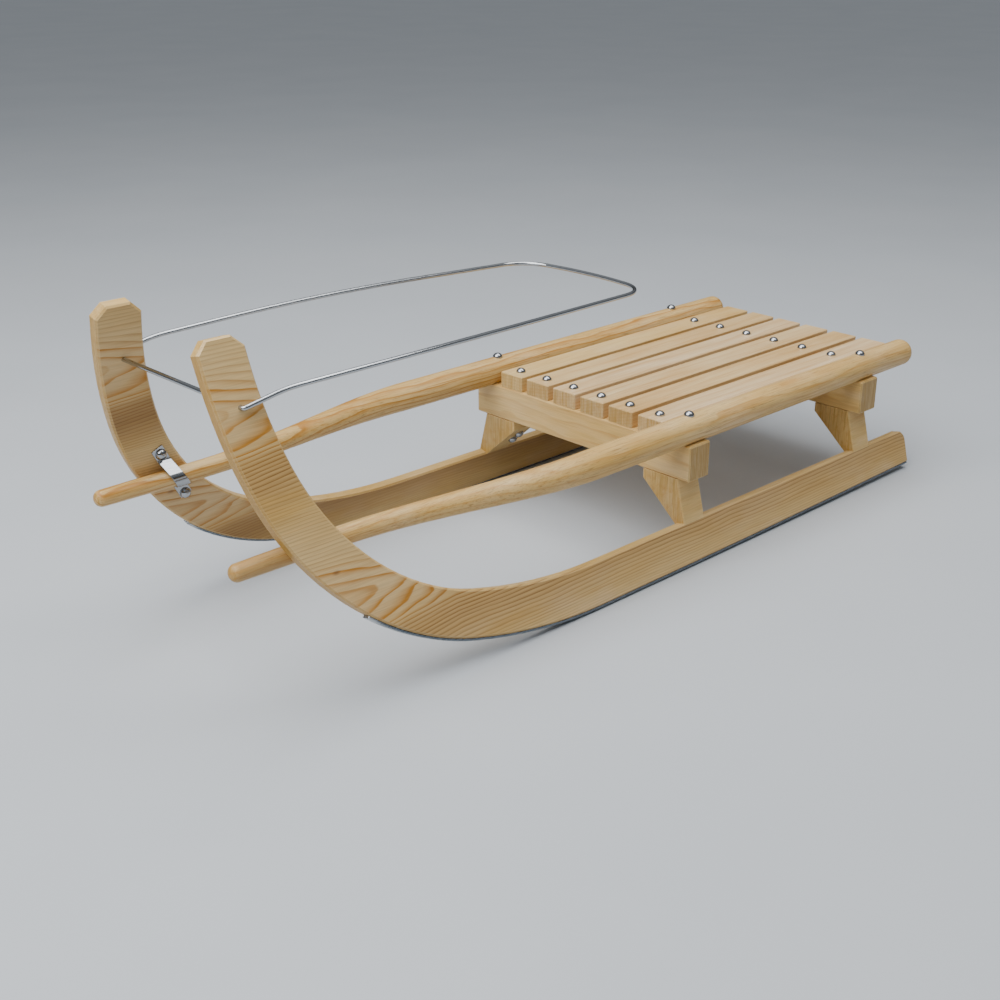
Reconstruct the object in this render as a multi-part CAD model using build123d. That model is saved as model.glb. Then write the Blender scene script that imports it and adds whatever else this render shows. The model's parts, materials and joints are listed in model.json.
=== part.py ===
from build123d import *
import os
from math import acos, asin, atan2, cos, degrees, hypot, radians, sin, sqrt, tan

# Racing toboggan of pine with steel soles and a steel pull hoop. Millimetres.
# +X is the driving direction, +Y the rider's left, +Z up. The ground is Z = 0.
# Lengths along X are counted from the middle of the front beam. At the end every
# piece is moved so that X = 0 is the middle of the overall length.

# Seat and beams
seat_height = 170.8          # top of the slats above the ground
beam_spacing = 351.0         # middle of the front beam to middle of the rear beam
beam_length = 361.5
beam_depth = 37.0
beam_height = 44.0
beam_bevel = 1.6

# Slats of the seat
slat_count = 6
slat_rail_gap = 7.5          # between the outer slats and the rails
slat_gap = 9.0
slat_thickness = 20.0
slat_front_overhang = 17.8   # past the middle of the front beam
slat_rear_overhang = 102.0   # past the middle of the rear beam
slat_bevel = 0.9

# Runners: planks that lean inward at the top, bent up into horns in front
runner_lean = 14.7           # degrees
runner_thickness = 14.0
runner_depth = 50.5
runner_bevel = 2.0
runner_inset = 4.05          # inside the beams' ends, to the inner face at the sole
runner_tail_overhang = 106.0 # past the middle of the rear beam
runner_tail_round = 15.0
rocker_radius = 40000.0      # the gentle belly of the sole behind the curve
curve_start = 170.8          # ahead of the front beam
curve_radii = (700.0, 327.0, 488.0)
curve_turns = (15.3, 56.5, 13.4)       # degrees, one for each radius
horn_height = 383.7          # top of the horn, measured up the plank
horn_corner = 12.0

# Steel soles
sole_thickness = 3.0
sole_width = 10.0
sole_front_turn = 40.3       # degrees of upward curve that the sole follows
sole_bevel = 0.6

# Posts between runners and beams
post_head_inset = 69.35      # inside the beams' ends, to the head's inner corner
post_head_height = 11.6
post_bevel = 1.0

# Rails beside the seat
rail_rear_overhang = 109.5   # past the middle of the rear beam
rail_radius = 17.5
rail_inset = 19.25           # inside the beams' ends, to the rail's axis at the seat
rail_seat_depth = 4.3        # how deep a rail sits in the beams
rail_play = 0.15             # in its seats, at the runner and under its clamp
rail_end_round = 12.0
rail_neck_radius = 10.2      # where the rail lies on the horn
rail_tip_radius = 9.0
rail_tip_round = 7.8
rail_bend_start = 165.0      # ahead of the front beam
rail_bend_end = 21.0         # behind the clamp
rail_tip_reach = 97.0        # past the clamp
rail_bend_share = 0.82       # of the largest radius that the double bend has room for
# Place along the double bend, and how much of the taper is done there
rail_taper_shares = ((0.25, 0.31), (0.50, 0.66), (0.75, 0.90))

# Clamps that hold the rails to the horns
clamp_setback = 8.3          # behind the middle of the plank
clamp_turn = 60.0            # degrees between the strap and the rail
clamp_length = 81.0          # along the strap
clamp_width = 14.0
clamp_sheet = 1.5
clamp_leg_lean = 32.0        # degrees that the legs slope out from the arch
clamp_bend = 3.0             # radius between a leg and its flange

# Pull hoop: one closed rod, hinged in the two horns. Lengths are from its pivot.
hoop_pivot_drop = 61.6       # below the top of the horn
hoop_pivot_setback = 1.3     # behind the middle of the plank
hoop_rod_radius = 2.5
hoop_hole_clearance = 0.08
hoop_side_clearance = 0.4    # between the bend of the rod and the horn's face
hoop_elbow_radius = 3.5
hoop_rise = 9.7              # from the pivot up to the end of the rise
hoop_rise_run = 46.7
hoop_rise_spread = 3.0       # how much wider the arms stand after the rise
hoop_rise_radius = 150.0
hoop_crown = 13.4            # above the pivot, where the arms arch highest
hoop_crown_spread = 10.0     # beyond the arms' place at the horns
hoop_corner_tuck = 15.0      # inside the arms' place at the horns
hoop_corner_radius = 44.0
hoop_reach = 569.4           # behind the pivot, to the middle of the bow
hoop_crown_share = 0.478     # of the reach
hoop_crown_radius_share = 4.09  # of the reach
hoop_bow_height = 6.7        # above the pivot
hoop_bow_depth = 9.7         # from the corners back to the middle of the bow
hoop_bow_half = 30.0         # half length of the bow's straight middle
hoop_bow_radius = 392.0

overrun = 5.0                # how far a cutting shape runs past what it cuts

# Places that follow from the sizes above
beam_end_y = beam_length / 2
runner_spread = beam_end_y - runner_inset
rail_spread = beam_end_y - rail_inset
post_head_inner_y = beam_end_y - post_head_inset
beam_top = seat_height - slat_thickness
beam_bottom = beam_top - beam_height
rail_z = beam_top - rail_seat_depth + rail_radius
rear_beam_x = -beam_spacing
runner_tail_x = rear_beam_x - runner_tail_overhang
rail_rear_x = rear_beam_x - rail_rear_overhang
seat_edge_y = rail_spread - rail_radius - slat_rail_gap
slat_pitch = (2 * seat_edge_y + slat_gap) / slat_count
slat_width = slat_pitch - slat_gap
lean = radians(runner_lean)

# A plank is drawn as (x along the toboggan, height up the plank) with its
# thickness outward from the inner face, then leaned and set on the ground.
sole_inset = (runner_thickness - sole_width) / 2
plank_z = sole_thickness * cos(lean) - (sole_inset + sole_bevel) * sin(lean)
to_right_plank = Pos(0, -runner_spread, plank_z) * Rot(90 - runner_lean, 0, 0)


def inner_face_y(z):
    """Distance of a runner's inner face from the middle, at a height."""
    return runner_spread - (z - plank_z) * tan(lean)


def outer_face_y(z):
    """Distance of a runner's outer face from the middle, at a height."""
    return inner_face_y(z) + runner_thickness / cos(lean)


def plank_point(out, up):
    """Right plank's (y, z) at a depth out from its inner face and a height up it."""
    y = -runner_spread - out * cos(lean) + up * sin(lean)
    return y, plank_z + out * sin(lean) + up * cos(lean)


def plank_middle_x(height):
    """Where the middle of the plank's depth passes a height, in the curve or the horn."""
    x, up, heading = curve_start, 0.0, 0.0
    for radius, turn in zip(curve_radii, curve_turns):
        centre_x = x - radius * sin(heading)
        centre_up = up + radius * cos(heading)
        heading += radians(turn)
        middle = radius - runner_depth / 2
        if centre_up - middle * cos(heading) >= height:
            return centre_x + sqrt(middle ** 2 - (centre_up - height) ** 2)
        x = centre_x + radius * sin(heading)
        up = centre_up - radius * cos(heading)
    horn_x = x - runner_depth / 2 * sin(heading)
    horn_up = up + runner_depth / 2 * cos(heading)
    return horn_x + (height - horn_up) / tan(heading)


# The rail lies on the horn's inner face and sets the place of its clamp
rail_neck_y = inner_face_y(rail_z) - (rail_neck_radius + rail_play) / cos(lean)
rail_up_plank = (runner_spread - rail_neck_y) * sin(lean) + (rail_z - plank_z) * cos(lean)
clamp_x = plank_middle_x(rail_up_plank) - clamp_setback
rail_bend_end_x = clamp_x - rail_bend_end
rail_tip_x = clamp_x + rail_tip_reach
centre_x = (rail_tip_x + rail_rear_x) / 2

# The hoop turns in the horns
pivot_up_plank = horn_height - hoop_pivot_drop
pivot_x = plank_middle_x(pivot_up_plank) - hoop_pivot_setback
pivot_z = plank_z + pivot_up_plank * cos(lean)


def sole_curve(inward, last_turn=None):
    """Edges along the sole from the tail to the horn, moved into the wood by inward."""
    back = asin((curve_start - runner_tail_x) / rocker_radius)
    start = Vector(curve_start, inward)
    rocker = JernArc(start, (-1, 0), rocker_radius - inward, -degrees(back))
    edges = [rocker]
    heading, turned, at = Vector(1, 0), 0.0, start
    for radius, turn in zip(curve_radii, curve_turns):
        if last_turn is not None:
            turn = min(turn, last_turn - turned)
        if turn <= 0:
            break
        arc = JernArc(at, heading, radius - inward, turn)
        edges.append(arc)
        turned += turn
        at, heading = arc @ 1, arc % 1
    return edges, rocker @ 1, at, heading


def flat_face(outline):
    """One face inside a closed outline of edges."""
    return make_face(Wire.combine([part.edge() for part in outline], tol=0.01)[0])


def bevel_outline(solid, size):
    """Bevel the edges around the two broad faces of a plank drawn flat."""
    broad = solid.faces().sort_by(Axis.Z)
    return chamfer(broad[0].edges() + broad[-1].edges(), size)


def runner_plank():
    """One runner drawn flat: the sole's curve, the horn and the straight top edge."""
    sole, tail, front, up = sole_curve(0)
    inner, _, inner_end, _ = sole_curve(runner_depth)
    above = horn_height + runner_depth
    horn_front = front + up * ((above - front.Y) / up.Y)
    horn_back = inner_end + up * ((above - inner_end.Y) / up.Y)
    tail_top = Vector(runner_tail_x, runner_depth)
    tail_foot = Vector(runner_tail_x, tail.Y)
    curve_top = Vector(curve_start, runner_depth)
    outline = sole + [Line(front, horn_front), Line(horn_front, horn_back)]
    outline += [Line(horn_back, inner_end)] + inner[1:]
    outline += [Line(curve_top, tail_top), Line(tail_top, tail_foot)]
    if (tail_foot - tail).length > 0:
        outline.append(Line(tail_foot, tail))
    past_horn = Pos(horn_front.X, horn_height) * Rectangle(
        2 * above, 2 * above, align=(Align.CENTER, Align.MIN))
    face = flat_face(outline) - past_horn
    face = chamfer(face.vertices().sort_by(Axis.Y)[-2:], horn_corner)
    tail_corner = face.vertices().sort_by_distance((tail_top.X, tail_top.Y, 0))[0]
    face = fillet(tail_corner, runner_tail_round)
    return bevel_outline(extrude(face, amount=runner_thickness), runner_bevel)


def sole_strip():
    """One steel sole drawn flat, under the middle of the plank's edge."""
    upper, tail_up, front_up, _ = sole_curve(0, sole_front_turn)
    lower, tail_low, front_low, _ = sole_curve(-sole_thickness, sole_front_turn)
    outline = upper + lower + [Line(front_up, front_low), Line(tail_up, tail_low)]
    strip = Pos(0, 0, sole_inset) * extrude(flat_face(outline), amount=sole_width)
    return bevel_outline(strip, sole_bevel)


def post(x):
    """One post: its foot fits over the bevelled top edge, its head lies under the beam."""
    shoulder = runner_depth - runner_bevel
    corners = [
        plank_point(0, shoulder),
        plank_point(runner_bevel, runner_depth),
        plank_point(runner_thickness - runner_bevel, runner_depth),
        plank_point(runner_thickness, shoulder),
        (-outer_face_y(beam_bottom), beam_bottom),
        (-post_head_inner_y, beam_bottom),
        (-post_head_inner_y, beam_bottom - post_head_height),
    ]
    face = Plane.YZ * make_face(Polyline(*corners, close=True).edges())
    block = Pos(x - beam_depth / 2, 0, 0) * extrude(face, amount=beam_depth)
    outer_edges = block.edges().filter_by(
        lambda e: abs(e.tangent_at(0).X) < abs(e.tangent_at(0).Z)
        and e.center().Y < -outer_face_y(beam_bottom))
    outer_edges = outer_edges.filter_by(lambda e: e.length > runner_thickness)
    return chamfer(outer_edges, post_bevel)


def rail_axis():
    """Double bend of a rail in plan: two equal arcs with a straight run between them."""
    across = rail_spread - rail_neck_y
    along = rail_bend_end_x - rail_bend_start
    radius = rail_bend_share * (along ** 2 + across ** 2) / (4 * across)
    twice = 2 * radius
    reach = hypot(twice - across, along)
    turn = atan2(along, twice - across) - acos(twice / reach)
    run = (along - twice * sin(turn)) / cos(turn)
    first = JernArc((rail_bend_start, -rail_spread), (1, 0), radius, degrees(turn))
    middle = Line(first @ 1, (first @ 1) + (first % 1) * run)
    last = JernArc(middle @ 1, middle % 1, radius, -degrees(turn))
    return Pos(0, 0, rail_z) * Wire([first.edge(), middle.edge(), last.edge()])


def rail():
    """Right rail: round, tapered through the double bend, with rounded ends."""
    back = Plane((rail_rear_x, -rail_spread, rail_z), z_dir=(1, 0, 0))
    straight = extrude(back * Circle(rail_radius), amount=rail_bend_start - rail_rear_x)
    straight = fillet(straight.edges().sort_by(Axis.X)[0], rail_end_round)
    path = rail_axis()
    rings = []
    for place, taper in ((0.0, 0.0),) + rail_taper_shares + ((1.0, 1.0),):
        ring = Plane(path @ place, x_dir=(0, 0, 1), z_dir=path % place)
        radius = rail_radius + (rail_neck_radius - rail_radius) * taper
        rings.append(ring * Circle(radius))
    bend = loft(rings)
    neck_ring = Plane(path @ 1, x_dir=(0, 0, 1), z_dir=(1, 0, 0))
    tip_ring = neck_ring.offset(rail_tip_x - rail_bend_end_x)
    neck = loft([neck_ring * Circle(rail_neck_radius), tip_ring * Circle(rail_tip_radius)])
    neck = fillet(neck.edges().sort_by(Axis.X)[-1], rail_tip_round)
    return straight + bend + neck


def beam(x):
    """One cross beam with a shallow round seat for each rail."""
    block = Pos(x, 0, (beam_top + beam_bottom) / 2) * Box(beam_depth, beam_length, beam_height)
    block = chamfer(block.edges(), beam_bevel)
    for side in (-1, 1):
        seat = Plane((x - beam_depth / 2 - overrun, side * rail_spread, rail_z), z_dir=(1, 0, 0))
        block -= extrude(seat * Circle(rail_radius + rail_play), amount=beam_depth + 2 * overrun)
    return block


def slat(number):
    """One lengthwise slat of the seat, counted from the right."""
    y = (number - (slat_count - 1) / 2) * slat_pitch
    rear_x = rear_beam_x - slat_rear_overhang
    board = Box(slat_front_overhang - rear_x, slat_width, slat_thickness)
    board = chamfer(board.edges(), slat_bevel)
    return Pos((slat_front_overhang + rear_x) / 2, y, seat_height - slat_thickness / 2) * board


def clamp():
    """Strap over the rail, drawn flat on the inner face of the right plank."""
    axis_off_face = rail_neck_radius + rail_play
    arch = axis_off_face + rail_play
    slope = radians(clamp_leg_lean)

    def cover(radius):
        """What an arch of this radius and its sloping legs cover, across the rail."""
        top_y, top_up = radius * cos(slope), axis_off_face + radius * sin(slope)
        foot_y = top_y + top_up * tan(slope)
        legs = Polygon((-foot_y, 0), (foot_y, 0), (top_y, top_up), (-top_y, top_up), align=None)
        return legs + Pos(0, axis_off_face) * Circle(radius)

    # Section across the rail: two flanges on the plank, two legs and the arch
    section = cover(arch + clamp_sheet)
    section += Rectangle(clamp_length, clamp_sheet, align=(Align.CENTER, Align.MIN))
    section -= Rectangle(clamp_length, arch, align=(Align.CENTER, Align.MAX))
    section -= cover(arch)
    section = fillet(section.vertices().group_by(Axis.Y)[1].sort_by(Axis.X)[1:3], clamp_bend)
    inside_feet = section.vertices().group_by(Axis.Y)[0].sort_by(Axis.X)[1:3]
    section = fillet(inside_feet, clamp_bend + clamp_sheet)
    across_rail = Plane((clamp_length / 2, 0, 0), x_dir=(0, 1, 0), z_dir=(-1, 0, 0))
    bent_sheet = extrude(across_rail * section, amount=clamp_length)
    band = Rot(0, 0, clamp_turn) * Box(clamp_length, clamp_width, 2 * runner_spread)
    return Pos(clamp_x, rail_up_plank, 0) * (bent_sheet & band)


def hoop():
    """The pull hoop: one half from its cross rod to the bow, and its mirror image."""
    arm_y = outer_face_y(pivot_z - hoop_rod_radius) + hoop_side_clearance + hoop_elbow_radius
    bow_x = pivot_x - hoop_reach
    bow_z = pivot_z + hoop_bow_height
    crown_x = pivot_x - hoop_reach * hoop_crown_share
    path = FilletPolyline(
        (pivot_x, 0, pivot_z),
        (pivot_x, -arm_y, pivot_z),
        (pivot_x - hoop_rise_run, -arm_y - hoop_rise_spread, pivot_z + hoop_rise),
        (crown_x, -arm_y - hoop_crown_spread, pivot_z + hoop_crown),
        (bow_x + hoop_bow_depth, -arm_y + hoop_corner_tuck, bow_z),
        (bow_x, -hoop_bow_half, bow_z),
        (bow_x, 0, bow_z),
        radius=[hoop_elbow_radius, hoop_rise_radius, hoop_reach * hoop_crown_radius_share,
                hoop_corner_radius, hoop_bow_radius])
    ring = Plane(path @ 0, z_dir=path % 0) * Circle(hoop_rod_radius)
    half = sweep(ring, path=path)
    return half + mirror(half, about=Plane.XZ)


def pivot_hole():
    """Cutting rod for the hoop's running fit in both horns."""
    reach = runner_spread + runner_thickness
    line = Plane((pivot_x, -reach, pivot_z), z_dir=(0, 1, 0))
    return extrude(line * Circle(hoop_rod_radius + hoop_hole_clearance), amount=2 * reach)


def pair(name, right_solid):
    """A piece of the right side and its mirror image on the left."""
    return {name + "_right": right_solid, name + "_left": mirror(right_solid, about=Plane.XZ)}


def build_pieces():
    """Every piece of the toboggan under its node's name."""
    pieces = {}
    pieces.update(pair("runner", to_right_plank * runner_plank() - pivot_hole()))
    pieces.update(pair("sole_strip", to_right_plank * sole_strip()))
    pieces.update(pair("post_front", post(0)))
    pieces.update(pair("post_rear", post(rear_beam_x)))
    pieces["cross_beam_front"] = beam(0)
    pieces["cross_beam_rear"] = beam(rear_beam_x)
    pieces.update(pair("side_rail", rail()))
    for number in range(slat_count):
        pieces[f"seat_slat_{number + 1}"] = slat(number)
    pieces.update(pair("rail_clamp", to_right_plank * clamp()))
    pieces["pull_hoop"] = hoop()
    return {name: Pos(-centre_x, 0, 0) * solid for name, solid in pieces.items()}


os.makedirs("parts", exist_ok=True)
for node, solid in build_pieces().items():
    export_step(solid, f"parts/{node}.step")
    print(node, round(solid.volume), "mm3")
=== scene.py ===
# Racing toboggan: pine, steel soles and a bright pull hoop. Metres, CAD frame.
import math
import bpy
from mathutils import Matrix, Vector
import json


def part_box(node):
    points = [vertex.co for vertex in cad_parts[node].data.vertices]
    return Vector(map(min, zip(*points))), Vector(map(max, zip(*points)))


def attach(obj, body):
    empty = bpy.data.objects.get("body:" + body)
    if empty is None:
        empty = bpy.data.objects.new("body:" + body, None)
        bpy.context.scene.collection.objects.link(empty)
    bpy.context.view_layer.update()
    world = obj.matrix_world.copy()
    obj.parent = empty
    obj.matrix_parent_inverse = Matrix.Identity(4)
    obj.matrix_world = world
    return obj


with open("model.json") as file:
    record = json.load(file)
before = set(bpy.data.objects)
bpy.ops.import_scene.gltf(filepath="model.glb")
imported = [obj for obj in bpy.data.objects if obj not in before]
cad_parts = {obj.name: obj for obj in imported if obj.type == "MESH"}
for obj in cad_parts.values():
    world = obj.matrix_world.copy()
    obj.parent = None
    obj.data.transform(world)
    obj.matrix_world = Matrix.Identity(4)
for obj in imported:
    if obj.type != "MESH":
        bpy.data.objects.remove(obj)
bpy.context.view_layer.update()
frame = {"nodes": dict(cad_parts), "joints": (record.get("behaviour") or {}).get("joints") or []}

mm = 0.001
nodes = frame["nodes"]
joint = frame["joints"][0]     # the pull hoop turns here


def linear(hexColour):
    # sRGB hex to the linear colour that a socket takes
    parts = [int(hexColour[i:i + 2], 16) / 255 for i in (1, 3, 5)]
    return tuple(c / 12.92 if c <= 0.04045 else ((c + 0.055) / 1.055) ** 2.4 for c in parts) + (1.0,)


def addNode(tree, kind, inputs=None, **settings):
    # one node with its settings; an input is a value, a hex colour, another node's
    # socket, or the node itself for its first socket in use
    made = tree.nodes.new(kind)
    for name, value in settings.items():
        setattr(made, name, value)
    for name, value in (inputs or {}).items():
        if isinstance(value, bpy.types.Node):
            value = next(socket for socket in value.outputs if socket.enabled)
        if isinstance(value, bpy.types.NodeSocket):
            tree.links.new(value, made.inputs[name])
        elif isinstance(value, str) and value.startswith("#"):
            made.inputs[name].default_value = linear(value)
        else:
            made.inputs[name].default_value = value
    return made


def newMaterial(name):
    material = bpy.data.materials.new(name)
    material.use_nodes = True
    material.node_tree.nodes.clear()
    return material, material.node_tree


def setRamp(rampNode, stops):
    # stops are (place, grey)
    elements = rampNode.color_ramp.elements
    while len(elements) < len(stops):
        elements.new(0.5)
    for element, (place, grey) in zip(elements, stops):
        element.position = place
        element.color = (grey, grey, grey, 1.0)


# Oiled pine, planed: pale spring wood, orange summer lines that darken slowly and
# stop sharply, fine fibre along the board, rosy and yellow patches, a soft low sheen.
pine = {
    "pale": "#E0C083",
    "tan": "#CFA85F",
    "rosy": "#DDBF8E",       # patches with little resin
    "orange": "#B87A1C",     # wide summer bands
    "brown": "#6C4818",      # close lines and flecks
    "deep": "#B68A45",       # ground between close lines
    "railShadeTint": "#A57C40",    # painted shade at the front of a rail
    "railShadeTintFrom": (400, 470),       # mm along the rail, where that colour comes in
    "cut": "#B48B3A",        # streaks on sawn ends
    "arrisHighlight": "#F0DDAA",       # painted highlight along the arrises
    "arrisHighlightWidth": 0.9,        # mm
    "arrisHighlightShare": 0.3,
    "arrisHighlightBend": (0.995, 0.93),       # how well rounded and flat normals agree, from no painted highlight to full
    "ringProfile": ((0.0, 0.0), (0.42, 0.05), (0.74, 0.50), (0.88, 1.0), (0.96, 0.9), (1.0, 0.0)),
    "fibreSize": (40.0, 0.9, 0.9),   # mm along and across, twice as coarse as real so that it shows
    "fibreNoise": (0.32, 0.68),      # noise at the palest and the darkest fibre
    "fibreTone": (1.06, 0.86),       # and the brightness there
    "darkestCut": 0.74,              # brightness at the darkest on a sawn end
    "endFacing": (0.6, 0.8),         # how far a face looks along the grain to be a sawn end
    "broadFacing": (0.5, 0.9),       # how far sideways to be a plank's broad face
    "frontFacing": (0.2, 0.8),       # how far ahead and down to be its front edge, which gets painted shade
    "edgeLines": 0.15,               # share of the lines that a plank's narrow edges keep
    "roughNoise": (0.3, 0.7),
    "roughness": (0.35, 0.50),
    "bumpStrength": 0.3,
    "bumpDepth": 0.15,       # mm
    # noise patterns: mm along and across the grain, shift of the seed, detail, roughness,
    # between which noise values it comes up, and from which share to which
    "patterns": {
        "uneven": (90, 7.0, 9, 2.0, 0.5, 0.3, 0.7, 0.75, 1.15),     # one ring beside the next
        "cloud": (170, 28.0, 5, 2.0, 0.5, 0.3, 0.7, 0.0, 1.0),
        "patches": (80, 30.0, 7, 2.0, 0.5, 0.5, 0.75, 0.0, 0.75),
        "streaks": (120, 3.2, 3, 3.0, 0.65, 0.5, 0.72, 0.0, 0.25),
        "flecks": (24, 1.2, 13, 3.0, 0.7, 0.56, 0.70, 0.0, 0.12),   # short vessels, also drawn coarse
        "cut": (60, 2.4, 11, 3.0, 0.7, 0.42, 0.68, 0.22, 0.95),     # upright on a sawn end
    },
}


def boardCoordinates(tree, turn, centre):
    # millimetres in the board's own directions, x along the grain, and the way a face looks
    coords = addNode(tree, "ShaderNodeTexCoord")
    angles = [math.radians(a) for a in turn]
    board = addNode(tree, "ShaderNodeMapping", {"Vector": coords.outputs["Object"], "Rotation": angles,
                                                "Scale": (1 / mm, 1 / mm, 1 / mm), "Location": centre})
    facing = addNode(tree, "ShaderNodeMapping", {"Vector": coords.outputs["Normal"], "Rotation": angles},
                     vector_type="NORMAL")
    return board, addNode(tree, "ShaderNodeSeparateXYZ", {"Vector": facing})


def scaledNoise(tree, board, size, seed, detail=2.0, roughness=0.5):
    # noise whose features are about size (x, y, z) millimetres; the seed moves it another
    # way in each direction
    place = addNode(tree, "ShaderNodeMapping", {"Vector": board, "Scale": [1 / c for c in size],
                                                "Location": [seed * step for step in (3.1, 1.7, 2.3)]})
    return addNode(tree, "ShaderNodeTexNoise", {"Vector": place, "Scale": 1.0, "Detail": detail,
                                                "Roughness": roughness})


def sawnRings(tree, board, look):
    # the annual rings round a pith line that runs along the board, as a saw cuts them
    waves = scaledNoise(tree, board, look["waveSize"], look["seed"])
    centred = addNode(tree, "ShaderNodeVectorMath", {0: waves.outputs["Color"], 1: (0.5, 0.5, 0.5)},
                      operation="SUBTRACT")
    swing = 4 * look["wave"]     # the noise itself swings by about a quarter each way
    bent = addNode(tree, "ShaderNodeVectorMath", {0: centred, 1: (0.0, swing, swing), 2: board},
                   operation="MULTIPLY_ADD")
    flat = addNode(tree, "ShaderNodeVectorMath", {0: bent, 1: (0.0, 1.0, 1.0)}, operation="MULTIPLY")
    distance = addNode(tree, "ShaderNodeVectorMath", {0: flat, 1: (0.0,) + look["pith"]}, operation="DISTANCE")
    return addNode(tree, "ShaderNodeMath", {0: distance, 1: look["ring"]}, operation="DIVIDE")


# How a runner plank's rings lie, in mm. Its grain repeats up the horn: tongues of wide
# orange rings that point to the rear, then close brown lines, then pale fine ones.
plankGrain = {
    "tongue": 111.0,        # height of the lower tongue's middle up the plank
    "repeat": 200.0,        # the next tongue's height above it
    "repeatAhead": 122.0,   # and how far it lies ahead
    "seam": 211.0,          # height up the plank of the change between the two
    "startX": 459.7,        # CAD X from which the tongues run to the rear
    "pullReach": 160.0,     # how far they run
    "tip": 3.0,             # radius of a tongue's tip
    "mostWander": 10.0,
    "wanderNoise": (0.25, 0.75),  # noise at the most wander down and up
    "reach": 135.0,         # rings are counted this far both ways
    "calmX": (220.0, 400.0),      # CAD X between which a calm plank's lines gain their full strength
    "plainRadius": (13.0, 17.0),  # the upper tongue's middle is plain to here
    "plainShare": 0.85,
    # ring edges, counted outward from the tongue's middle on both sides, and the even
    # spacing from where on
    "edges": (0.0, 15.5, 24.0, 33.5, 38.5, 42.0, 46.0),
    "spacing": ((46.0, 3.7), (70.0, 3.3), (90.0, 2.9)),
    # height from the nearer tongue's middle, how strong the lines are, how far they
    # wander, how brown they are, how deep the ground is, how creamy it is
    "rows": (
        (-135, 0.44, 1.2, 0.55, 0.14, 0.1),
        (-98, 0.44, 1.2, 0.55, 0.14, 0.1),
        (-80, 0.66, 1.3, 0.7, 0.55, 0.0),
        (-66, 0.95, 1.4, 0.85, 0.85, 0.0),
        (-48, 1.00, 1.4, 0.6, 0.70, 0.0),
        (-39, 1.00, 1.6, 0.1, 0.20, 0.2),
        (-26, 1.00, 2.2, 0.0, 0.15, 0.7),
        (0, 0.60, 2.0, 0.0, 0.18, 0.6),
        (12, 0.60, 2.0, 0.2, 0.15, 0.6),
        (18, 0.90, 2.0, 0.1, 0.10, 0.7),
        (34, 1.00, 2.0, 0.05, 0.00, 0.7),
        (38, 0.50, 1.5, 0.4, 0.00, 0.5),
        (48, 0.40, 1.2, 0.6, 0.00, 0.45),
        (80, 0.41, 1.2, 0.6, 0.00, 0.35),
        (100, 0.44, 1.2, 0.55, 0.14, 0.1),
        (125, 0.44, 1.2, 0.55, 0.14, 0.1),
    ),
    # height, how steeply the lines close in towards the rear
    "pull": ((-135, 0.0), (-86, 0.02), (-60, 0.07), (-32, 0.09), (-20, 0.15), (-8, 0.25), (0, 0.24),
             (8, 0.15), (26, 0.14), (42, 0.05), (54, 0.0), (125, 0.0)),
}


def readTable(tree, value, rows):
    # the level at a place, from rows of (mm, level between 0 and 1)
    first, last = rows[0][0], rows[-1][0]
    share = addNode(tree, "ShaderNodeMapRange", {0: value, 1: first, 2: last}, clamp=False)
    table = addNode(tree, "ShaderNodeFloatCurve", {"Value": share})
    points = table.mapping.curves[0].points
    places = [((at - first) / (last - first), level) for at, level in rows]
    points[0].location, points[1].location = places[0], places[-1]
    for place in places[1:-1]:
        points.new(*place)
    for point in points:
        point.handle_type = "VECTOR"
    table.mapping.update()
    return table


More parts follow.
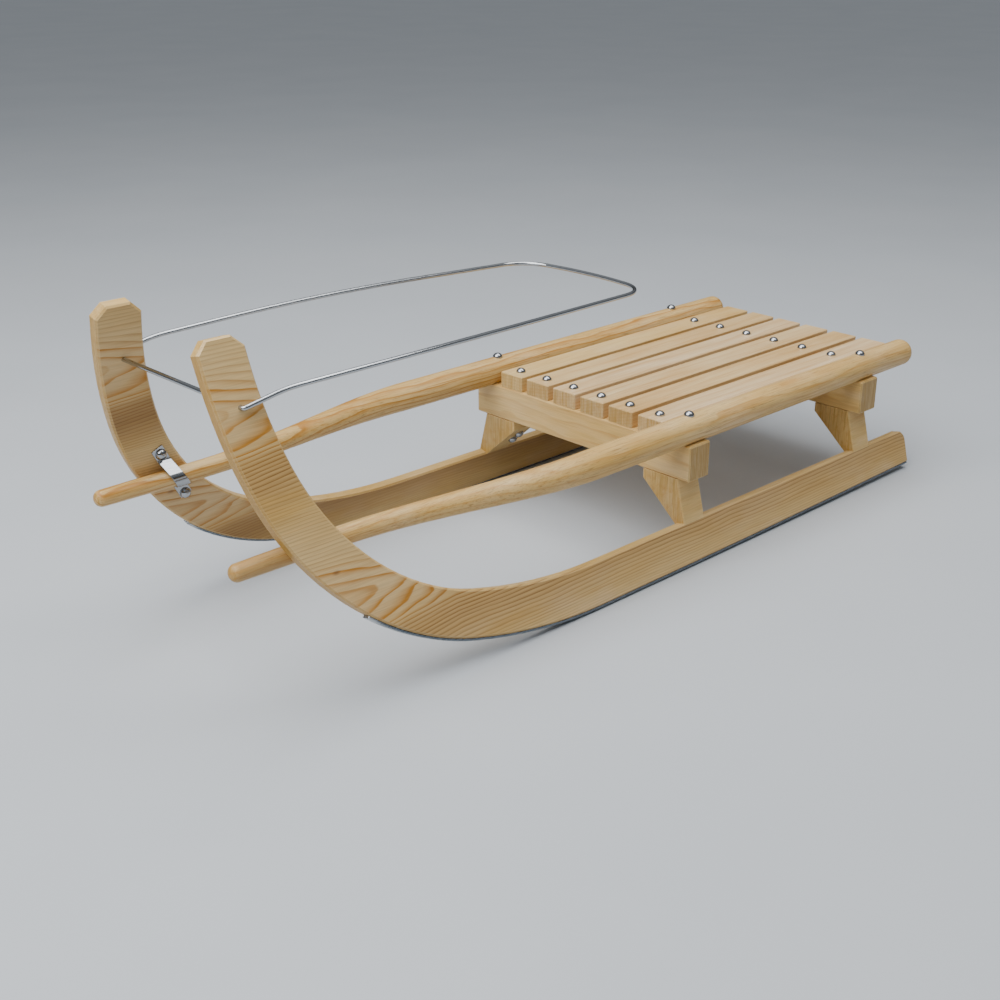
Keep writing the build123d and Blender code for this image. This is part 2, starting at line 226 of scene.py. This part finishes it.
def plankRings(tree, board, look):
    # ring count at a place on a plank, and there the rows' strength, brown, deep and cream
    grain = plankGrain
    strengthRows, wanderRows, brownRows, deepRows, creamRows = [
        [(row[0], row[i]) for row in grain["rows"]] for i in range(1, 6)]

    # height from the nearer tongue's middle, and how far its start lies ahead
    place = addNode(tree, "ShaderNodeSeparateXYZ", {"Vector": board})
    upper = addNode(tree, "ShaderNodeMath", {0: place.outputs["Z"], 1: grain["seam"]}, operation="GREATER_THAN")
    tongue = addNode(tree, "ShaderNodeMath", {0: upper, 1: grain["repeat"], 2: grain["tongue"]},
                     operation="MULTIPLY_ADD")
    height = addNode(tree, "ShaderNodeMath", {0: place.outputs["Z"], 1: tongue}, operation="SUBTRACT")
    start = addNode(tree, "ShaderNodeMath", {0: upper, 1: grain["repeatAhead"], 2: grain["startX"]},
                    operation="MULTIPLY_ADD")
    behind = addNode(tree, "ShaderNodeMath", {0: start, 1: place.outputs["X"]}, operation="SUBTRACT")
    behind = addNode(tree, "ShaderNodeMath", {0: behind, 1: grain["pullReach"]}, operation="MINIMUM")

    # the lines wander up and down
    waves = scaledNoise(tree, board, look["waveSize"], look["seed"], detail=3.0, roughness=0.45)
    most, (down, up) = grain["mostWander"], grain["wanderNoise"]
    swing = addNode(tree, "ShaderNodeMapRange", {0: waves, 1: down, 2: up, 3: -most, 4: most}, clamp=False)
    wander = readTable(tree, height, [(at, level / most) for at, level in wanderRows])
    bent = addNode(tree, "ShaderNodeMath", {0: swing, 1: wander, 2: height}, operation="MULTIPLY_ADD")

    # distance from the tongue's middle, with a round tip, which grows towards the rear
    square = addNode(tree, "ShaderNodeMath", {0: bent, 1: bent, 2: grain["tip"] ** 2}, operation="MULTIPLY_ADD")
    root = addNode(tree, "ShaderNodeMath", {0: square}, operation="SQRT")
    rounded = addNode(tree, "ShaderNodeMath", {0: root, 1: grain["tip"]}, operation="SUBTRACT")
    pull = readTable(tree, height, grain["pull"])
    away = addNode(tree, "ShaderNodeMath", {0: pull, 1: behind, 2: rounded}, operation="MULTIPLY_ADD")
    side = addNode(tree, "ShaderNodeMath", {0: bent}, operation="SIGN")
    signed = addNode(tree, "ShaderNodeMath", {0: side, 1: away}, operation="MULTIPLY")

    edges = list(grain["edges"])
    while edges[-1] < grain["reach"]:
        edges.append(edges[-1] + [gap for at, gap in grain["spacing"] if at <= edges[-1]][-1])
    count = len(edges)
    ringRows = sorted({(way * edge, i / count) for i, edge in enumerate(edges[:-1]) for way in (-1, 1)})
    rings = addNode(tree, "ShaderNodeMath", {0: readTable(tree, signed, ringRows), 1: count}, operation="MULTIPLY")
    strength, brown, deep, cream = [readTable(tree, signed, rows)
                                    for rows in (strengthRows, brownRows, deepRows, creamRows)]

    # the far plank is calmer towards the rear, and the upper tongue's middle is plain
    calmX, plainRadius = grain["calmX"], grain["plainRadius"]
    calm = addNode(tree, "ShaderNodeMapRange", {0: place.outputs["X"], 1: calmX[0], 2: calmX[1],
                                                3: look["rearLines"], 4: 1.0})
    inner = addNode(tree, "ShaderNodeMapRange", {0: away, 1: plainRadius[0], 2: plainRadius[1],
                                                 3: 1 - grain["plainShare"], 4: 1.0})
    plain = addNode(tree, "ShaderNodeMapRange", {0: upper, 3: 1.0, 4: inner})
    for share in (calm, plain):
        strength = addNode(tree, "ShaderNodeMath", {0: strength, 1: share}, operation="MULTIPLY")
    return rings, strength, brown, deep, cream


# a small pin knot under the lower tongue: CAD X and height up the plank, and its size in mm
knot = {"at": (435.7, 143.5), "size": (5.5, 2.6), "colour": "#6E4420", "fade": (0.3, 1.1), "share": 0.6}


def knotShare(tree, board):
    (x, up), (wide, high), (core, rim) = knot["at"], knot["size"], knot["fade"]
    flat = addNode(tree, "ShaderNodeVectorMath", {0: board, 1: (1.0, 0.0, 1.0)}, operation="MULTIPLY")
    offset = addNode(tree, "ShaderNodeVectorMath", {0: flat, 1: (x, 0.0, up)}, operation="SUBTRACT")
    oval = addNode(tree, "ShaderNodeVectorMath", {0: offset, 1: (1 / wide, 1.0, 1 / high)}, operation="MULTIPLY")
    radius = addNode(tree, "ShaderNodeVectorMath", {0: oval}, operation="LENGTH")
    return addNode(tree, "ShaderNodeMapRange", {0: radius, 1: core, 2: rim, 3: knot["share"], 4: 0.0})


def pineMaterial(name, look):
    material, tree = newMaterial(name)
    look = {"plank": False, "turn": (0, 0, 0), "centre": (0, 0, 0), "pale": pine["pale"], "tan": pine["tan"],
            "closeGround": pine["deep"], "deep": 0.1, "railShade": 0.0, "endTone": 1.0, **look}
    board, normal = boardCoordinates(tree, look["turn"], look["centre"])
    across = addNode(tree, "ShaderNodeVectorRotate", {"Vector": board, "Axis": (0, 1, 0), "Angle": math.pi / 2})
    endways = addNode(tree, "ShaderNodeMath", {0: normal.outputs["X"]}, operation="ABSOLUTE")
    least, most = pine["endFacing"]
    ends = addNode(tree, "ShaderNodeMapRange", {0: endways, 1: least, 2: most})     # 1 on sawn ends

    shares = {}
    for pattern, (length, width, shift, detail, rough, low, high, least, most) in pine["patterns"].items():
        width, most = look.get(pattern + "Width", width), look.get(pattern, most)
        noise = scaledNoise(tree, across if pattern == "cut" else board, (length, width, width),
                            look["seed"] + shift, detail, rough)
        shares[pattern] = addNode(tree, "ShaderNodeMapRange", {0: noise, 1: low, 2: high, 3: least, 4: most})

    if look["plank"]:
        rings, strength, brown, deep, cream = plankRings(tree, board, look)
        # the narrow edges are sanded smooth and show little of the lines; the front ones,
        # which look ahead and down, get painted shade in a golden brown
        sideways = addNode(tree, "ShaderNodeMath", {0: normal.outputs["Y"]}, operation="ABSOLUTE")
        least, most = pine["broadFacing"]
        broad = addNode(tree, "ShaderNodeMapRange", {0: sideways, 1: least, 2: most})
        shown = addNode(tree, "ShaderNodeMapRange", {0: broad, 3: pine["edgeLines"], 4: 1.0})
        strength = addNode(tree, "ShaderNodeMath", {0: strength, 1: shown}, operation="MULTIPLY")
        deep = addNode(tree, "ShaderNodeMath", {0: deep, 1: broad}, operation="MULTIPLY")
        cream = addNode(tree, "ShaderNodeMath", {0: cream, 1: broad}, operation="MULTIPLY")
        patches = addNode(tree, "ShaderNodeMath", {0: shares["patches"], 1: cream}, operation="MAXIMUM")
        forward = addNode(tree, "ShaderNodeMath", {0: normal.outputs["X"], 1: normal.outputs["Z"]},
                          operation="SUBTRACT")
        least, most = pine["frontFacing"]
        # painted shade: narrow edges that look ahead and down are darkened to a golden brown
        ahead = addNode(tree, "ShaderNodeMapRange", {0: forward, 1: least, 2: most, 3: 0.0, 4: look["edge"]})
        paintedFrontShade = addNode(tree, "ShaderNodeMapRange", {0: broad, 3: ahead, 4: 0.0})
    else:
        rings, strength, brown, deep = sawnRings(tree, board, look), look["strength"], look["brown"], look["deep"]
        patches, paintedFrontShade = shares["patches"], 0.0

    # summer wood: darkens slowly across the ring and stops sharply
    ringPlace = addNode(tree, "ShaderNodeMath", {0: rings}, operation="FRACT")
    lines = addNode(tree, "ShaderNodeValToRGB", {"Fac": ringPlace})
    setRamp(lines, pine["ringProfile"])
    for share in (strength, shares["uneven"]):
        lines = addNode(tree, "ShaderNodeMath", {0: lines, 1: share}, operation="MULTIPLY")

    # the ground, layer upon layer; the front of a rail gets painted shade, browner
    place = addNode(tree, "ShaderNodeSeparateXYZ", {"Vector": board})
    railShadeStart, railShadeEnd = pine["railShadeTintFrom"]
    railShadeShare = addNode(tree, "ShaderNodeMapRange", {0: place.outputs["X"], 1: railShadeStart, 2: railShadeEnd,
                                                   3: 0.0, 4: look["railShade"]})
    cut = addNode(tree, "ShaderNodeMath", {0: ends, 1: shares["cut"]}, operation="MULTIPLY")
    ground = look["pale"]
    for share, colour in ((shares["cloud"], look["tan"]), (patches, pine["rosy"]),
                          (shares["streaks"], pine["orange"]), (deep, look["closeGround"]),
                          (paintedFrontShade, pine["deep"]), (railShadeShare, pine["railShadeTint"]), (cut, pine["cut"]),
                          (shares["flecks"], pine["brown"])):
        ground = addNode(tree, "ShaderNodeMix", {0: share, 6: ground, 7: colour}, data_type="RGBA")
    lineColour = addNode(tree, "ShaderNodeMix", {0: brown, 6: pine["orange"], 7: pine["brown"]}, data_type="RGBA")
    striped = addNode(tree, "ShaderNodeMix", {0: lines, 6: ground, 7: lineColour}, data_type="RGBA")

    # fibre along the board; on a sawn end it is cut across, shows upright and is darker
    along, cutAcross = [scaledNoise(tree, way, pine["fibreSize"], 0.0, 3.0, 0.6) for way in (board, across)]
    fibre = addNode(tree, "ShaderNodeMix", {0: ends, 2: along, 3: cutAcross})
    (low, high), (palest, darkest) = pine["fibreNoise"], pine["fibreTone"]
    darkest = addNode(tree, "ShaderNodeMapRange", {0: ends, 3: darkest, 4: pine["darkestCut"]})
    tone = addNode(tree, "ShaderNodeMapRange", {0: fibre, 1: low, 2: high, 3: palest, 4: darkest})
    endTone = addNode(tree, "ShaderNodeMapRange", {0: ends, 3: 1.0, 4: look["endTone"]})
    tone = addNode(tree, "ShaderNodeMath", {0: tone, 1: endTone}, operation="MULTIPLY")
    shaded = addNode(tree, "ShaderNodeVectorMath", {0: striped, 3: tone}, operation="SCALE")
    if look["plank"]:
        shaded = addNode(tree, "ShaderNodeMix", {0: knotShare(tree, board), 6: shaded, 7: knot["colour"]},
                         data_type="RGBA")

    # painted highlight along the arrises: pale where the rounded normal leaves the flat one
    rounded = addNode(tree, "ShaderNodeBevel", {"Radius": pine["arrisHighlightWidth"] * mm}, samples=4)
    flatNormal = addNode(tree, "ShaderNodeNewGeometry")
    agree = addNode(tree, "ShaderNodeVectorMath", {0: rounded, 1: flatNormal.outputs["Normal"]},
                    operation="DOT_PRODUCT")
    low, high = pine["arrisHighlightBend"]
    arrisHighlight = addNode(tree, "ShaderNodeMapRange", {0: agree, 1: low, 2: high, 3: 0.0, 4: pine["arrisHighlightShare"]})
    # mix the painted arris highlight into the colour
    paintedEdgeHighlight = addNode(tree, "ShaderNodeMix", {0: arrisHighlight, 6: shaded, 7: pine["arrisHighlight"]}, data_type="RGBA")
    (low, high), (smoothest, roughest) = pine["roughNoise"], pine["roughness"]
    rough = addNode(tree, "ShaderNodeMapRange", {0: fibre, 1: low, 2: high, 3: smoothest, 4: roughest})
    bump = addNode(tree, "ShaderNodeBump", {"Strength": pine["bumpStrength"], "Distance": pine["bumpDepth"] * mm,
                                            "Height": fibre})
    shader = addNode(tree, "ShaderNodeBsdfPrincipled", {"Base Color": paintedEdgeHighlight, "IOR": 1.5, "Roughness": rough,
                                                        "Normal": bump})
    addNode(tree, "ShaderNodeOutputMaterial", {"Surface": shader})
    return material


def dress(nodeName, material):
    mesh = nodes[nodeName].data
    for i in range(len(mesh.materials)):
        mesh.materials[i] = material
    if not mesh.materials:
        mesh.materials.append(material)


print("pine")
planks = {
    "lean": 14.7,           # degrees
    "spread": 176.7,        # mm from the middle to an inner face, at the foot
    "footHeight": 2.242,    # mm
    "wood": {"plank": True, "waveSize": (110, 60, 38), "seed": 1.3},
    # how much painted shade the front edge gets, the ground between close lines, lines at the rear
    "left": {"edge": 0.9, "closeGround": "#BC955A", "rearLines": 1.0},
    "right": {"edge": 0.45, "closeGround": "#8F6527", "rearLines": 0.45},
}
for side, sign in (("left", 1), ("right", -1)):
    lean = -sign * planks["lean"]
    foot = Vector((0.0, sign * planks["spread"], planks["footHeight"]))
    upright = Matrix.Rotation(math.radians(lean), 3, "X")
    dress("runner_" + side, pineMaterial("planedPineRunner_" + side, {
        **planks["wood"], **planks[side], "turn": (lean, 0, 0), "centre": -(upright @ foot)}))

slats = {
    "wood": {"ring": 4.2, "wave": 2.0, "waveSize": (260, 50, 50), "strength": 0.26, "brown": 0.1,
             "streaks": 0.35},
    "pith": (-150, -140),   # mm, and how far it moves from slat to slat
    "pithStep": (60, 8),
    "seedStep": 2.1,
    # pale and tan wood of each slat, and how dark its sawn ends are
    "tones": (("#E4C88F", "#D6B06C", 1.0), ("#E1C38F", "#CFA86E", 0.93), ("#E6CCA2", "#D8B582", 0.97),
              ("#E3C898", "#D0A970", 0.88), ("#E1C28D", "#CDA468", 0.86), ("#E7CEA6", "#D9B885", 0.95)),
}
for i, (pale, tan, endTone) in enumerate(slats["tones"], 1):
    pith = tuple(start + i * step for start, step in zip(slats["pith"], slats["pithStep"]))
    dress("seat_slat_%d" % i, pineMaterial("planedPineSlat_%d" % i, {
        **slats["wood"], "pale": pale, "tan": tan, "endTone": endTone, "pith": pith,
        "seed": i * slats["seedStep"]}))

rails = {
    "wood": {"ring": 6.0, "wave": 3.5, "waveSize": (140, 30, 30), "brown": 0.15, "streaksWidth": 2.0,
             "flecks": 0.6},
    # the near rail's front gets painted shade
    "left": {"pith": (150, 120), "strength": 0.42, "streaks": 0.65, "railShade": 0.55, "seed": 5.0},
    "right": {"pith": (-150, 120), "strength": 0.85, "streaks": 0.8, "seed": 3.0},
}
for side in ("left", "right"):
    dress("side_rail_" + side, pineMaterial("turnedPineRail_" + side, {**rails["wood"], **rails[side]}))

beams = {"turn": (0, 0, 90), "pith": (160, 60), "ring": 6.0, "wave": 3.0, "waveSize": (120, 40, 30),
         "strength": 0.30, "brown": 0.2, "endTone": 0.79, "seed": 7.0}
posts = {"pith": (60, 140), "ring": 9.0, "wave": 3.0, "waveSize": (60, 40, 14), "strength": 0.14,
         "brown": 0.1, "streaks": 0.5, "streaksWidth": 9.0, "seed": 9.0}
for end in ("front", "rear"):
    dress("cross_beam_" + end, pineMaterial("planedPineBeam_" + end, beams))
    for side in ("left", "right"):
        dress("post_%s_%s" % (end, side), pineMaterial("planedPinePost_%s_%s" % (end, side), posts))


# Steel, rolled or drawn: metallic, with fine streaks from working, and on the strip
# a painted highlight along the upper edges and at the nose.
steel = {
    "streakSize": (50 / 3, 10 / 9, 10 / 9),   # mm along and across
    "streakNoise": (0.3, 0.7),
    "bumpStrength": 0.1,
    "bumpDepth": 0.1,             # mm
    "edgeWidth": 0.9,             # mm
    "edgeLift": (0.12, 0.5),      # how far a rounded normal is lifted, from no painted highlight to full
    "metalHighlight": "#F2F4F5",            # painted highlight colour
    "noseHighlightReach": (18.0, 6.0),  # mm behind the nose, where the painted highlight starts and is full
    # strip, hot rolled and blued: dark blue-grey, with painted highlight on its upper edges and its nose
    "blued": {"tints": ("#5A646D", "#818B94"), "roughness": (0.22, 0.34), "paintedEdgeHighlight": 0.9, "noseHighlight": 0.45},
    # sheet and screws, zinc plated: pale and cold, nearly a mirror
    "zinc": {"tints": ("#B9BBBE", "#95989C"), "roughness": (0.07, 0.13), "paintedEdgeHighlight": 0.0, "noseHighlight": 0.0},
    # rod, drawn and plated: pale and bright
    "bright": {"tints": ("#C2C5C8", "#A3A6AA"), "roughness": (0.08, 0.14), "paintedEdgeHighlight": 0.0, "noseHighlight": 0.0},
}


def steelMaterial(name, look, nose=0.0):
    material, tree = newMaterial(name)
    coords = addNode(tree, "ShaderNodeTexCoord")
    stretched = addNode(tree, "ShaderNodeMapping", {"Vector": coords.outputs["Object"],
                                                    "Scale": [1 / (c * mm) for c in steel["streakSize"]]})
    streaks = addNode(tree, "ShaderNodeTexNoise", {"Vector": stretched, "Scale": 1.0, "Detail": 3.0})
    (low, high), (smoothest, roughest) = steel["streakNoise"], look["roughness"]
    rough = addNode(tree, "ShaderNodeMapRange", {0: streaks, 1: low, 2: high, 3: smoothest, 4: roughest})
    tint = addNode(tree, "ShaderNodeMix", {0: streaks, 6: look["tints"][0], 7: look["tints"][1]},
                   data_type="RGBA")
    # painted highlight on upper edges: where the rounded normal leaves the flat one upwards
    edge = addNode(tree, "ShaderNodeBevel", {"Radius": steel["edgeWidth"] * mm}, samples=4)
    flatNormal = addNode(tree, "ShaderNodeNewGeometry")
    lifted = addNode(tree, "ShaderNodeVectorMath", {0: edge, 1: flatNormal.outputs["Normal"]},
                     operation="SUBTRACT")
    lift = addNode(tree, "ShaderNodeSeparateXYZ", {"Vector": lifted})
    low, high = steel["edgeLift"]
    upperEdgeHighlight = addNode(tree, "ShaderNodeMapRange", {0: lift.outputs["Z"], 1: low, 2: high, 3: 0.0,
                                                     4: look["paintedEdgeHighlight"]})
    # painted highlight on the nose, fading in from behind it
    place = addNode(tree, "ShaderNodeSeparateXYZ", {"Vector": coords.outputs["Object"]})
    start, full = [nose - reach * mm for reach in steel["noseHighlightReach"]]
    noseHighlight = addNode(tree, "ShaderNodeMapRange", {0: place.outputs["X"], 1: start, 2: full, 3: 0.0,
                                                   4: look["noseHighlight"]})
    # painted highlight where either the upper edges or the nose call for it
    metalHighlight = addNode(tree, "ShaderNodeMath", {0: upperEdgeHighlight, 1: noseHighlight}, operation="MAXIMUM")
    tint = addNode(tree, "ShaderNodeMix", {0: metalHighlight, 6: tint, 7: steel["metalHighlight"]}, data_type="RGBA")
    bump = addNode(tree, "ShaderNodeBump", {"Strength": steel["bumpStrength"], "Distance": steel["bumpDepth"] * mm,
                                            "Height": streaks, "Normal": edge})
    shader = addNode(tree, "ShaderNodeBsdfPrincipled", {"Base Color": tint, "Metallic": 1.0, "Roughness": rough,
                                                        "Normal": bump})
    addNode(tree, "ShaderNodeOutputMaterial", {"Surface": shader})
    return material


print("steel")
bluedSteel = steelMaterial("bluedRolledSteel", steel["blued"], nose=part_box("sole_strip_left")[1].x)
zincSteel = steelMaterial("zincPlatedSteel", steel["zinc"])
for side in ("left", "right"):
    dress("sole_strip_" + side, bluedSteel)
    dress("rail_clamp_" + side, zincSteel)
dress("pull_hoop", steelMaterial("brightDrawnRod", steel["bright"]))


# Dome head wood screws: zinc plated, so they show as small bright caps. Sizes in mm.
screws = {
    "headWidth": 12.8,
    "headHeight": 5.4,
    "clampSpots": ((-47.7, 197.0), (-81.2, 137.6)),   # ahead of the hoop's pivot, up the plank
    "clampSheet": 1.5,                                # the heads lie on the clamp
    "postFace": ((164.4, 49.2), (111.4, 95.2)),       # inner face of a post, foot and head (y, z)
    "postSteps": (1.0, 17.4),                         # along the post from its face's middle
    "postBack": 3.6,                                  # behind the beam's middle
    "facets": (24, 14),                               # round a head, and from pole to pole
}


def middle(nodeName):
    low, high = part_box(nodeName)
    return (low + high) / 2


def screwPlaces():
    # (point, direction that the head faces) in metres
    places = []
    up = Vector((0, 0, 1))
    rows = [middle("cross_beam_" + end).x for end in ("front", "rear")]
    for x in rows:
        for i in range(1, 1 + len(slats["tones"])):
            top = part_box("seat_slat_%d" % i)[1].z
            places.append((Vector((x, middle("seat_slat_%d" % i).y, top)), up))
        for side in ("left", "right"):
            low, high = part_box("side_rail_" + side)
            outer = max(low.y, high.y, key=abs)
            axis = outer - math.copysign((high.z - low.z) / 2, outer)
            places.append((Vector((x, axis, high.z)), up))
    for sign in (-1, 1):
        # a plank's own directions: up it, and inward from its face
        tilt = Matrix.Rotation(math.radians(sign * planks["lean"]), 3, "X")
        upPlank, inward = tilt @ Vector((0, 0, 1)), tilt @ Vector((0, -sign, 0))
        foot = Vector((0, sign * planks["spread"], planks["footHeight"]))
        for ahead, height in screws["clampSpots"]:
            spot = (foot + upPlank * height + inward * screws["clampSheet"]) * mm
            places.append((Vector((joint["pos_m"][0] + ahead * mm, spot.y, spot.z)), inward))
        low, high = [Vector((0, sign * y, z)) * mm for y, z in screws["postFace"]]
        along = (high - low).normalized()
        facing = Vector((0, -sign * abs(along.z), -abs(along.y)))
        for x in rows:
            for step in screws["postSteps"]:
                spot = (low + high) / 2 + along * step * mm
                places.append((Vector((x - screws["postBack"] * mm, spot.y, spot.z)), facing))
    return places


def screwTree(material):
    # a domed head at each point, turned to the point's direction
    tree = bpy.data.node_groups.new("domeHeads", "GeometryNodeTree")
    tree.interface.new_socket("Geometry", in_out="INPUT", socket_type="NodeSocketGeometry")
    width = tree.interface.new_socket("Head width", in_out="INPUT", socket_type="NodeSocketFloat")
    height = tree.interface.new_socket("Head height", in_out="INPUT", socket_type="NodeSocketFloat")
    tree.interface.new_socket("Geometry", in_out="OUTPUT", socket_type="NodeSocketGeometry")
    entry = addNode(tree, "NodeGroupInput")
    headWidth, headHeight = entry.outputs["Head width"], entry.outputs["Head height"]
    size = addNode(tree, "ShaderNodeCombineXYZ", {"X": headWidth, "Y": headWidth, "Z": headHeight})
    radii = addNode(tree, "ShaderNodeVectorMath", {0: size, 1: (0.5, 0.5, 1.0)}, operation="MULTIPLY")
    around, upward = screws["facets"]
    ball = addNode(tree, "GeometryNodeMeshUVSphere", {"Segments": around, "Rings": upward, "Radius": 1.0})
    dome = addNode(tree, "GeometryNodeTransform", {"Geometry": ball, "Scale": radii})
    direction = addNode(tree, "GeometryNodeInputNamedAttribute", {"Name": "facing"}, data_type="FLOAT_VECTOR")
    turned = addNode(tree, "FunctionNodeAlignRotationToVector", {"Vector": direction}, axis="Z")
    placed = addNode(tree, "GeometryNodeInstanceOnPoints", {"Points": entry, "Instance": dome, "Rotation": turned})
    real = addNode(tree, "GeometryNodeRealizeInstances", {"Geometry": placed})
    smooth = addNode(tree, "GeometryNodeSetShadeSmooth", {"Geometry": real})
    finish = addNode(tree, "GeometryNodeSetMaterial", {"Geometry": smooth, "Material": material})
    addNode(tree, "NodeGroupOutput", {"Geometry": finish})
    return tree, width.identifier, height.identifier


print("screws")
places = screwPlaces()
points = bpy.data.meshes.new("screwPoints")
points.from_pydata([point for point, way in places], [], [])
facing = points.attributes.new("facing", "FLOAT_VECTOR", "POINT")
facing.data.foreach_set("vector", [c for point, way in places for c in way])
holder = bpy.data.objects.new("screwPoints", points)
bpy.context.scene.collection.objects.link(holder)
tree, widthId, heightId = screwTree(zincSteel)
modifier = holder.modifiers.new("heads", "NODES")
modifier.node_group = tree
modifier[widthId] = screws["headWidth"] * mm
modifier[heightId] = screws["headHeight"] * mm
bpy.context.view_layer.update()
graph = bpy.context.evaluated_depsgraph_get()
heads = bpy.data.meshes.new_from_object(holder.evaluated_get(graph))
heads.name = "dome_head_screws"
screwHeads = bpy.data.objects.new("dome_head_screws", heads)
bpy.context.scene.collection.objects.link(screwHeads)
bpy.data.objects.remove(holder)
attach(screwHeads, "toboggan")


print("studio")
studio = {
    "floor": ("#B4B9BE", "#BEC2C6"),
    "mottleSize": 1000 / 3,   # mm
    "floorRoughness": 0.85,
    "floorReach": 60.0,       # metres each way
    # brightness of the room from straight down to straight up
    "room": ((0.0, 0.30), (0.50, 0.05), (0.57, 0.10), (0.68, 0.32), (0.85, 0.52), (1.0, 0.90)),
    "roomTint": "#EEF2F7",
    "roomStrength": 0.80,
    # soft boxes: place, metres square, watts; all look at the aim
    "softBoxes": {"front": ((1.6, 0.0, 2.1), 2.4, 83.0), "top": ((-0.35, -0.1, 2.5), 1.6, 32.0),
                  "back": ((-0.87, 1.0, 2.38), 0.9, 10.0)},
    "aim": (0.0, 0.0, 0.15),
}
reach = studio["floorReach"]
floorMesh = bpy.data.meshes.new("floor")
floorMesh.from_pydata([(-reach, -reach, 0), (reach, -reach, 0), (reach, reach, 0), (-reach, reach, 0)], [],
                      [(0, 1, 2, 3)])
floor = bpy.data.objects.new("floor", floorMesh)
bpy.context.scene.collection.objects.link(floor)
# painted board: matt, faintly mottled
floorMaterial, tree = newMaterial("paleStudioFloor")
coords = addNode(tree, "ShaderNodeTexCoord")
mottle = addNode(tree, "ShaderNodeTexNoise", {"Vector": coords.outputs["Object"], "Detail": 4.0,
                                              "Scale": 1 / (studio["mottleSize"] * mm)})
tone = addNode(tree, "ShaderNodeMix", {0: mottle, 6: studio["floor"][0], 7: studio["floor"][1]}, data_type="RGBA")
matt = addNode(tree, "ShaderNodeBsdfPrincipled", {"Base Color": tone, "Roughness": studio["floorRoughness"]})
addNode(tree, "ShaderNodeOutputMaterial", {"Surface": matt})
floorMesh.materials.append(floorMaterial)

world = bpy.data.worlds.new("softStudio")
bpy.context.scene.world = world
world.use_nodes = True
room = world.node_tree
room.nodes.clear()
coords = addNode(room, "ShaderNodeTexCoord")
direction = addNode(room, "ShaderNodeSeparateXYZ", {"Vector": coords.outputs["Generated"]})
height = addNode(room, "ShaderNodeMapRange", {0: direction.outputs["Z"], 1: -1.0, 2: 1.0})
brightness = addNode(room, "ShaderNodeValToRGB", {"Fac": height})
setRamp(brightness, studio["room"])
tinted = addNode(room, "ShaderNodeMix", {0: 1.0, 6: brightness, 7: studio["roomTint"]},
                 data_type="RGBA", blend_type="MULTIPLY")
sky = addNode(room, "ShaderNodeBackground", {"Color": tinted, "Strength": studio["roomStrength"]})
addNode(room, "ShaderNodeOutputWorld", {"Surface": sky})

for name, (place, size, power) in studio["softBoxes"].items():
    lamp = bpy.data.lights.new(name + "SoftBox", "AREA")
    lamp.shape = "SQUARE"
    lamp.size = size
    lamp.energy = power
    softBox = bpy.data.objects.new(name + "SoftBox", lamp)
    softBox.location = place
    softBox.rotation_euler = (Vector(place) - Vector(studio["aim"])).to_track_quat("Z", "Y").to_euler()
    bpy.context.scene.collection.objects.link(softBox)

view = {
    "place": (1.16393, 1.1467, 0.7277),
    "azimuth": 46.513,     # degrees from the toboggan's front towards its left
    "height": 22.612,      # degrees that the camera looks down
    "roll": -0.141,
    "lens": 51.377,        # mm, for the sensor below
    "sensor": 36.0,
}
cameraData = bpy.data.cameras.new("camera")
cameraData.sensor_width = view["sensor"]
cameraData.lens = view["lens"]
cameraData.clip_start = 10 * mm
camera = bpy.data.objects.new("camera", cameraData)
camera.matrix_world = (Matrix.Translation(view["place"])
                       @ Matrix.Rotation(math.radians(view["azimuth"] + 90), 4, "Z")
                       @ Matrix.Rotation(math.radians(90 - view["height"]), 4, "X")
                       @ Matrix.Rotation(math.radians(view["roll"]), 4, "Z"))
bpy.context.scene.collection.objects.link(camera)
bpy.context.scene.camera = camera

print("done")
